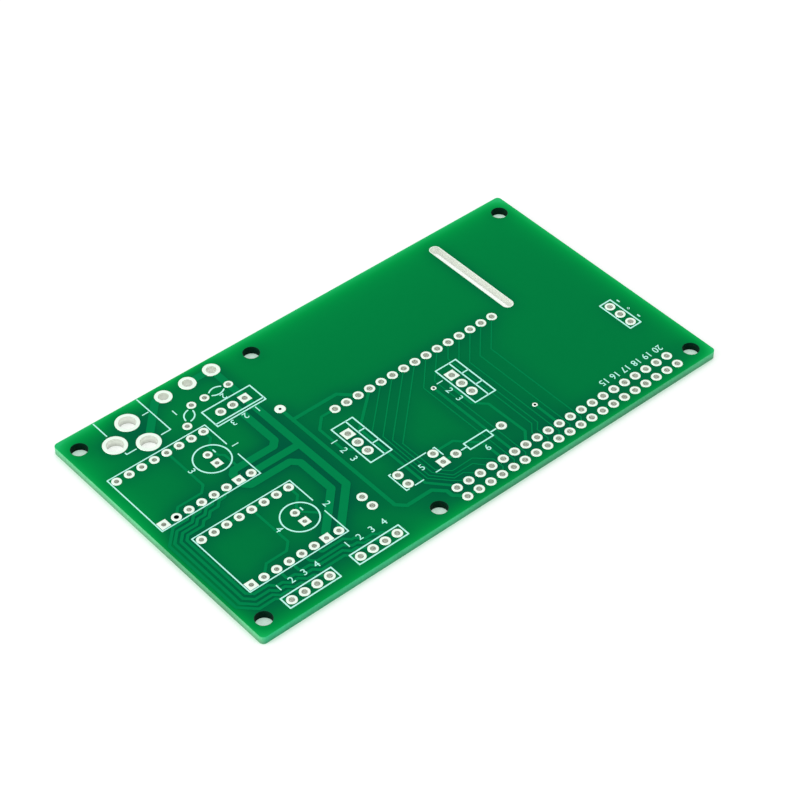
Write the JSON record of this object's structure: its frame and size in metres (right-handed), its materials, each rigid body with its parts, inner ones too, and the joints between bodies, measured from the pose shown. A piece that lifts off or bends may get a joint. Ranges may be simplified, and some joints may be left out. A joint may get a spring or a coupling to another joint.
{
  "type": "expansion board",
  "caption": "Bare rectangular circuit board with a two-row header, driver sockets, a long plated slot, mounting holes and printed part outlines.",
  "frame": {"origin": "centre of the board on its underside", "axes": "+X along the long side, towards the plated slot; +Y towards the power jack's edge; +Z out of the printed face"},
  "size_m": [0.0996, 0.0554, 0.0017],
  "materials": {
    "solder_mask": "glossy green solder mask over glass laminate",
    "masked_track": "the same mask over copper, lighter green",
    "tinned_copper": "bright tinned copper",
    "legend_ink": "white printed ink"
  },
  "bodies": {
    "root": {"board": "solder_mask", "driver_supply_track": "masked_track", "ground_track": "masked_track", "jack_eyelet_1": "tinned_copper", "jack_eyelet_2": "tinned_copper", "jack_eyelet_3": "tinned_copper", "jack_outline_back_left": "legend_ink", "jack_outline_left": "legend_ink", "jack_outline_right": "legend_ink", "jack_track": "masked_track", "left_motor_outline": "legend_ink", "left_transistor_eyelet_1": "tinned_copper", "left_transistor_eyelet_2": "tinned_copper", "left_transistor_eyelet_3": "tinned_copper", "left_transistor_outline": "legend_ink", "level_disc_outline_1": "legend_ink", "level_disc_outline_2": "legend_ink", "lower_capacitor_eyelet_1": "tinned_copper", "lower_capacitor_eyelet_2": "tinned_copper", "lower_capacitor_outline": "legend_ink", "lower_capacitor_outline_bar": "legend_ink", "lower_driver_outline": "legend_ink", "lower_logic_track": "masked_track", "optocoupler_eyelet_1": "tinned_copper", "optocoupler_eyelet_2": "tinned_copper", "optocoupler_eyelet_3": "tinned_copper", "optocoupler_eyelet_4": "tinned_copper", "optocoupler_outline": "legend_ink", "optocoupler_outline_front": "legend_ink", "regulator_eyelet_1": "tinned_copper", "regulator_eyelet_2": "tinned_copper", "regulator_eyelet_3": "tinned_copper", "regulator_outline": "legend_ink", "regulator_supply_track": "masked_track", "resistor_outline": "legend_ink", "right_motor_outline": "legend_ink", "right_transistor_eyelet_1": "tinned_copper", "right_transistor_eyelet_2": "tinned_copper", "right_transistor_eyelet_3": "tinned_copper", "right_transistor_outline": "legend_ink", "signal_outline": "legend_ink", "slot_lining": "tinned_copper", "terminal_eyelet_1": "tinned_copper", "terminal_eyelet_2": "tinned_copper", "terminal_eyelet_3": "tinned_copper", "terminal_link": "masked_track", "terminal_supply_track": "masked_track", "tilted_disc_outline_1": "legend_ink", "tilted_disc_outline_2": "legend_ink", "upper_capacitor_eyelet_1": "tinned_copper", "upper_capacitor_eyelet_2": "tinned_copper", "upper_capacitor_outline": "legend_ink", "upper_capacitor_outline_bar": "legend_ink", "upper_driver_outline": "legend_ink", "upper_logic_track": "masked_track"}
  },
  "joints": []
}
